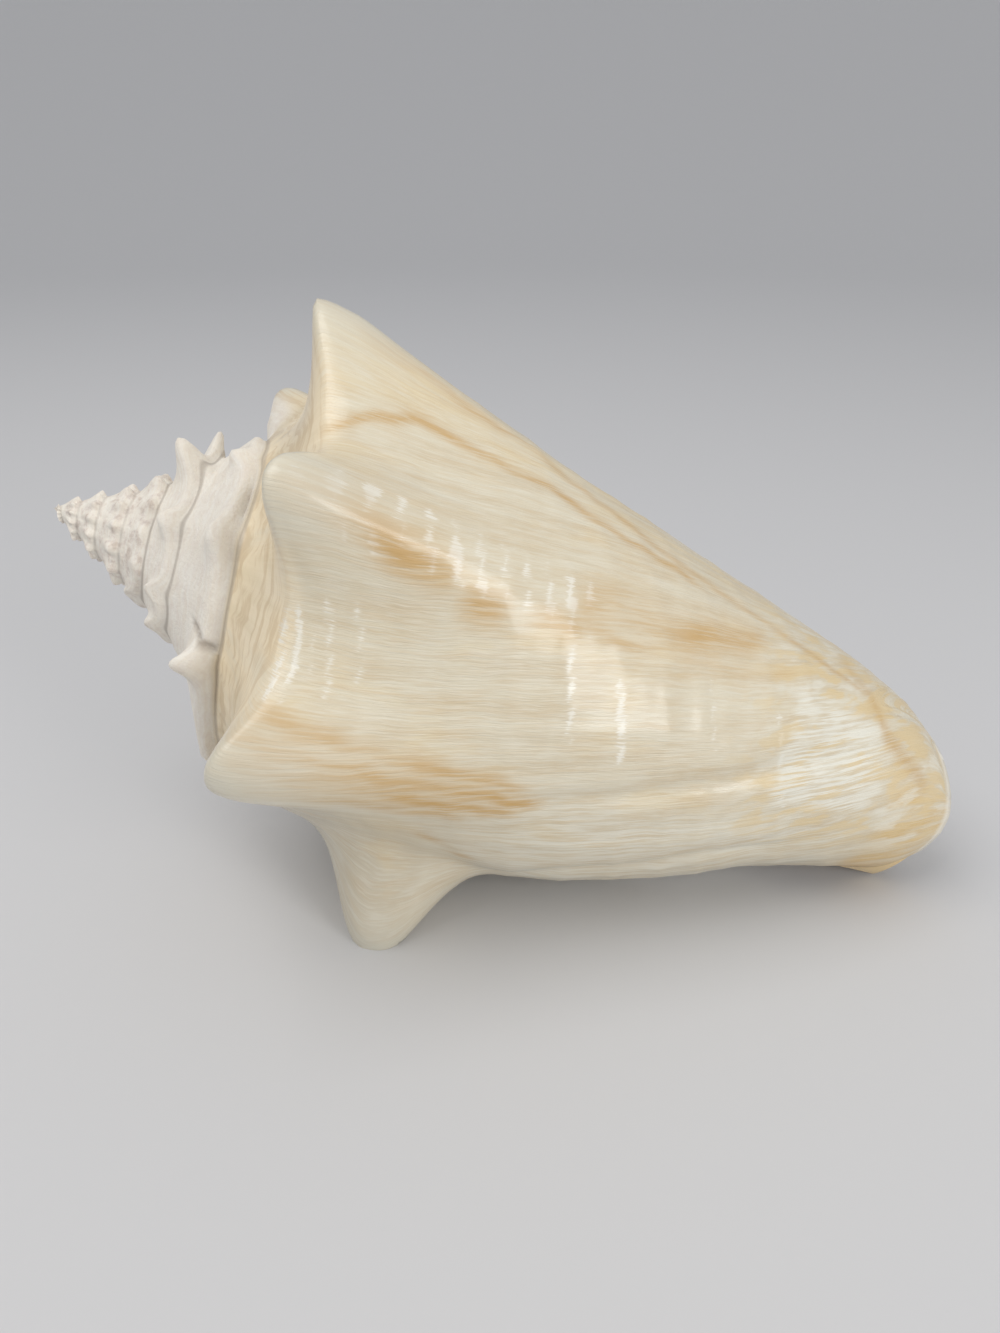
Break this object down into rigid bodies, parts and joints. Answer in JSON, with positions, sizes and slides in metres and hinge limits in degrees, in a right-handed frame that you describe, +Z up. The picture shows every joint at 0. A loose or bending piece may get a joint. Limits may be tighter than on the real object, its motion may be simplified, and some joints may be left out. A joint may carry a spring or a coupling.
{
  "type": "conch shell",
  "caption": "Spiral sea snail shell with a stepped spire, blunt shoulder spines, a long body whorl and a slot-like opening that runs into the canal.",
  "frame": {"origin": "centre of the bounding box, on the ground that the shell rests on", "axes": "+X from the spire to the canal, +Z up as the shell rests, -Y towards the side that the picture shows"},
  "size_m": [0.212, 0.1162, 0.1379],
  "materials": {
    "shell": null
  },
  "bodies": {
    "root": {"shell": "shell"}
  },
  "joints": []
}
